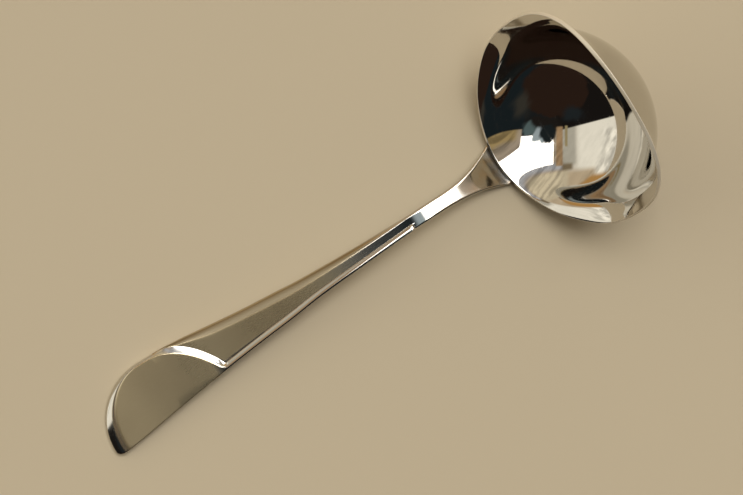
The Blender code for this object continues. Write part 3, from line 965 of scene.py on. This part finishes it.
def make_floor():
    mesh = bpy.data.meshes.new("floor")
    corners = [(x * FLOOR_HALF, y * FLOOR_HALF, 0.0) for x, y in ((-1, -1), (1, -1), (1, 1), (-1, 1))]
    mesh.from_pydata(corners, [], [(0, 1, 2, 3)])
    floor = bpy.data.objects.new("floor", mesh)
    bpy.context.scene.collection.objects.link(floor)
    material = bpy.data.materials.new("floor_paper")
    nodes = Nodes(material)
    shader = nodes.add("ShaderNodeBsdfPrincipled")
    out = nodes.add("ShaderNodeOutputMaterial")
    nodes.put(shader.outputs["BSDF"], out.inputs["Surface"])
    shader.inputs["Base Color"].default_value = FLOOR
    shader.inputs["Roughness"].default_value = 0.9
    shader.inputs["Specular IOR Level"].default_value = 0.2
    mesh.materials.append(material)
    floor.location.z = -FLOOR_DROP


def patch(nodes, across, down, box, soft, leans):
    # 1 inside a box of angles, 0 outside it
    left, right, top, bottom = box
    upper, lower = [nodes.plus(down, nodes.times(across, lean)) for lean in leans]
    result = nodes.ramp(across, left - soft, left + soft)
    for share in (nodes.ramp(across, right + soft, right - soft), nodes.ramp(upper, top - soft, top + soft),
                  nodes.ramp(lower, bottom + soft, bottom - soft)):
        result = nodes.times(result, share)
    return result


# What stands round the ladle: box of angles from straight up in degrees (left, right, upper, lower border),
# softness, colour, leans of the upper and the lower border
SURROUNDINGS = [
    ((-95.0, -26.0, -62.0, 40.0), 3.0, (0.80, 0.74, 0.62), (0.0, 0.0)),
    ((-90.0, -38.0, -50.0, 40.0), 6.0, (1.12, 1.07, 0.93), (0.0, 0.0)),
    ((-60.0, -22.0, -64.0, -41.0), 5.0, (0.66, 0.53, 0.36), (0.0, 0.0)),
    ((-28.0, 25.0, -72.0, -40.0), 3.0, (0.75, 0.65, 0.46), (0.0, 0.0)),
    ((-24.0, 30.0, -38.5, -30.0), 3.0, (0.52, 0.53, 0.56), (0.0, 0.0)),
    ((-37.0, -14.0, -34.0, 20.0), 3.0, (0.58, 0.55, 0.46), (0.0, 0.0)),
    ((-33.0, -21.0, -40.0, -32.0), 2.5, (0.27, 0.21, 0.13), (0.0, 0.0)),
    ((-11.4, 32.8, -32.5, 1.5), 0.7, (6.1, 6.0, 5.8), (0.1, 0.0)),
    ((22.0, 80.0, 10.4, 12.0), 1.2, (0.40, 0.33, 0.25), (0.9, 0.0)),
    ((27.0, 80.0, -2.0, 12.0), 3.0, (0.38, 0.28, 0.13), (0.0, 0.0)),
    ((-200.0, -13.0, 2.0, 200.0), 0.9, (0.012, 0.010, 0.009), (0.25, 0.25)),
    ((-13.5, 22.5, 1.2, 200.0), 1.0, (0.014, 0.016, 0.017), (0.0, 0.0)),
    ((21.0, 200.0, 8.8, 200.0), 0.8, (0.012, 0.018, 0.021), (0.0, 0.0)),
    ((-22.0, -14.5, -34.0, 11.0), 1.2, (0.44, 0.29, 0.16), (0.0, 0.0)),
    ((-27.5, -24.5, -12.0, 12.0), 0.9, (0.42, 0.34, 0.18), (0.0, 0.0)),
    ((-78.0, -28.0, -90.0, -62.0), 1.5, (0.014, 0.012, 0.011), (0.0, -0.12)),
]
ABOVE = (0.46, 0.35, 0.24)
# What the camera sees beyond the floor
SEEN_BEHIND = (0.62, 0.55, 0.43, 1.0)
# Dark things above the ladle: middle across and down, half sizes, softness, colour
DARKS = [
    (-11.0, 58.0, 40.0, 36.0, 0.06, (0.029, 0.016, 0.011)),
    (26.0, 36.0, 9.0, 13.0, 0.6, (0.045, 0.042, 0.034)),
    (-33.0, 25.0, 12.0, 9.0, 0.5, (0.018, 0.023, 0.026)),
    (0.0, 14.0, 20.0, 8.0, 0.3, (0.018, 0.015, 0.013)),
    (5.0, 1.0, 7.0, 8.0, 0.3, (0.42, 0.50, 0.54)),
    (16.0, 9.0, 7.0, 7.0, 0.4, (0.11, 0.16, 0.165)),
    (-6.4, 3.2, 9.2, 10.3, 0.2, (0.015, 0.020, 0.022)),
]
# Streaks of light and shade, as on things that aren't evenly lit
STREAK_SLANT = 0.6
STREAK_LENGTH = 0.25
STREAK_SCALE = 0.12
STREAK_SHADES = (0.62, 1.22)
# They show low down and at the right, and above the dark ground: ranges of angles
STREAK_TILT = (66.0, 80.0)
STREAK_LEAST = 0.12
STREAK_ACROSS = (-28.0, -16.0)
STREAK_DOWN = (12.0, 4.0)
# How far the edges of the dark things wander, in degrees
WANDER = 16.0
WANDER_SCALE = 0.09
# A golden patch low down beyond the upper side of the render lights the handle's left edge
GOLDEN = (0.56, 0.31, 0.10, 1.0)
GOLDEN_TILT = (71.0, 77.0)
GOLDEN_DOWN = (-47.0, -55.0)
GOLDEN_ACROSS = (10.0, 0.0)


def seen_angles(nodes, ray, tilt, up):
    # Angles across and down from straight up, in degrees, for a ray
    flat = nodes.math("SQRT", nodes.minus(1.0001, nodes.times(up, up)))
    scale = nodes.math("DIVIDE", tilt, flat)
    angles = []
    for axis in (RIGHT, DOWN):
        dot = nodes.add("ShaderNodeVectorMath", operation="DOT_PRODUCT")
        nodes.put(ray, dot.inputs[0])
        dot.inputs[1].default_value = axis
        angles.append(nodes.times(dot.outputs["Value"], scale))
    return angles


def streaked(nodes, colour, place, tilt, across, down):
    streaks = nodes.noise(place, STREAK_SCALE, 3.0, 0.6)
    shade = nodes.ramp(streaks, 0.36, 0.64, *STREAK_SHADES)
    grey = nodes.add("ShaderNodeCombineXYZ")
    for socket in grey.inputs:
        nodes.put(shade, socket)
    dim = nodes.add("ShaderNodeMix", data_type="RGBA", blend_type="MULTIPLY")
    low = nodes.ramp(tilt, *STREAK_TILT, STREAK_LEAST)
    uneven = nodes.math("MAXIMUM", low, nodes.ramp(across, *STREAK_ACROSS))
    nodes.put(nodes.times(uneven, nodes.ramp(down, *STREAK_DOWN)), dim.inputs[0])
    nodes.put(colour, dim.inputs[6])
    nodes.put(grey.outputs[0], dim.inputs[7])
    return dim.outputs[2]


def darkened(nodes, colour, place, angles):
    # The dark things' edges wander
    wandering = []
    for axis, angle in enumerate(angles):
        turned = nodes.stretch(place, (1.0, 1.0, 1.0), (0.0, 0.0, 0.7 + axis))
        noise = nodes.noise(turned, WANDER_SCALE, 2.0)
        wandering.append(nodes.plus(angle, nodes.times(nodes.minus(noise, 0.5), WANDER)))
    for x, y, wide, high, soft, tint in DARKS:
        squares = [nodes.math("POWER", nodes.math("DIVIDE", nodes.minus(angle, middle), half), 2.0)
                   for angle, middle, half in zip(wandering, (x, y), (wide, high))]
        away = nodes.math("SQRT", nodes.plus(*squares))
        colour = nodes.blend(nodes.ramp(away, 1.0 + soft, 1.0 - soft), colour, (*tint, 1.0))
    return colour


def make_world():
    world = bpy.data.worlds.new("studio")
    bpy.context.scene.world = world
    nodes = Nodes(world)
    ray = nodes.add("ShaderNodeTexCoord").outputs["Generated"]
    up = nodes.split(ray)["Z"]
    tilt = nodes.times(nodes.math("ARCCOSINE", up), 180.0 / math.pi)
    across, down = seen_angles(nodes, ray, tilt, up)
    colour = (*ABOVE, 1.0)
    for box, soft, tint, leans in SURROUNDINGS:
        colour = nodes.blend(patch(nodes, across, down, box, soft, leans), colour, (*tint, 1.0))
    along = nodes.plus(across, nodes.times(down, STREAK_SLANT))
    beside = nodes.minus(down, nodes.times(across, STREAK_SLANT))
    place = nodes.add("ShaderNodeCombineXYZ")
    nodes.put(along, place.inputs["X"])
    nodes.put(nodes.times(beside, STREAK_LENGTH), place.inputs["Y"])
    colour = streaked(nodes, colour, place.outputs[0], tilt, across, down)
    colour = darkened(nodes, colour, place.outputs[0], (across, down))
    golden = nodes.times(nodes.ramp(tilt, *GOLDEN_TILT), nodes.ramp(down, *GOLDEN_DOWN))
    colour = nodes.blend(nodes.times(golden, nodes.ramp(across, *GOLDEN_ACROSS)), colour, GOLDEN)
    light = nodes.add("ShaderNodeBackground")
    nodes.put(colour, light.inputs["Color"])
    seen = nodes.add("ShaderNodeBackground")
    seen.inputs["Color"].default_value = SEEN_BEHIND
    pick = nodes.add("ShaderNodeMixShader")
    nodes.put(nodes.add("ShaderNodeLightPath").outputs["Is Camera Ray"], pick.inputs[0])
    nodes.put(light.outputs[0], pick.inputs[1])
    nodes.put(seen.outputs[0], pick.inputs[2])
    nodes.put(pick.outputs[0], nodes.add("ShaderNodeOutputWorld").inputs["Surface"])


def make_camera():
    data = bpy.data.cameras.new("camera")
    data.sensor_fit = "HORIZONTAL"
    data.sensor_width = 36.0
    data.lens = CAMERA_LENS
    data.clip_start = 0.01
    data.clip_end = 20.0
    camera = bpy.data.objects.new("camera", data)
    bpy.context.scene.collection.objects.link(camera)
    back = (CAMERA_PLACE - CAMERA_TARGET).normalized()
    across = Vector(RIGHT) - back * Vector(RIGHT).dot(back)
    across.normalize()
    up = back.cross(across)
    turn = camera.matrix_world.to_3x3()
    turn.col[0] = across
    turn.col[1] = up
    turn.col[2] = back
    camera.matrix_world = turn.to_4x4()
    camera.location = CAMERA_PLACE
    bpy.context.scene.camera = camera


def main():
    make_camera()
    make_floor()
    make_world()
    mirror = steel("bowl_mirror", polished)
    satin = steel("handle_satin", brushed)
    weld = steel("weld_tinted", weld_steel)
    make_bowl(mirror)
    make_handle(satin)
    make_weld(weld)
    bpy.context.scene.view_settings.view_transform = "Standard"


main()
bpy.context.view_layer.update()
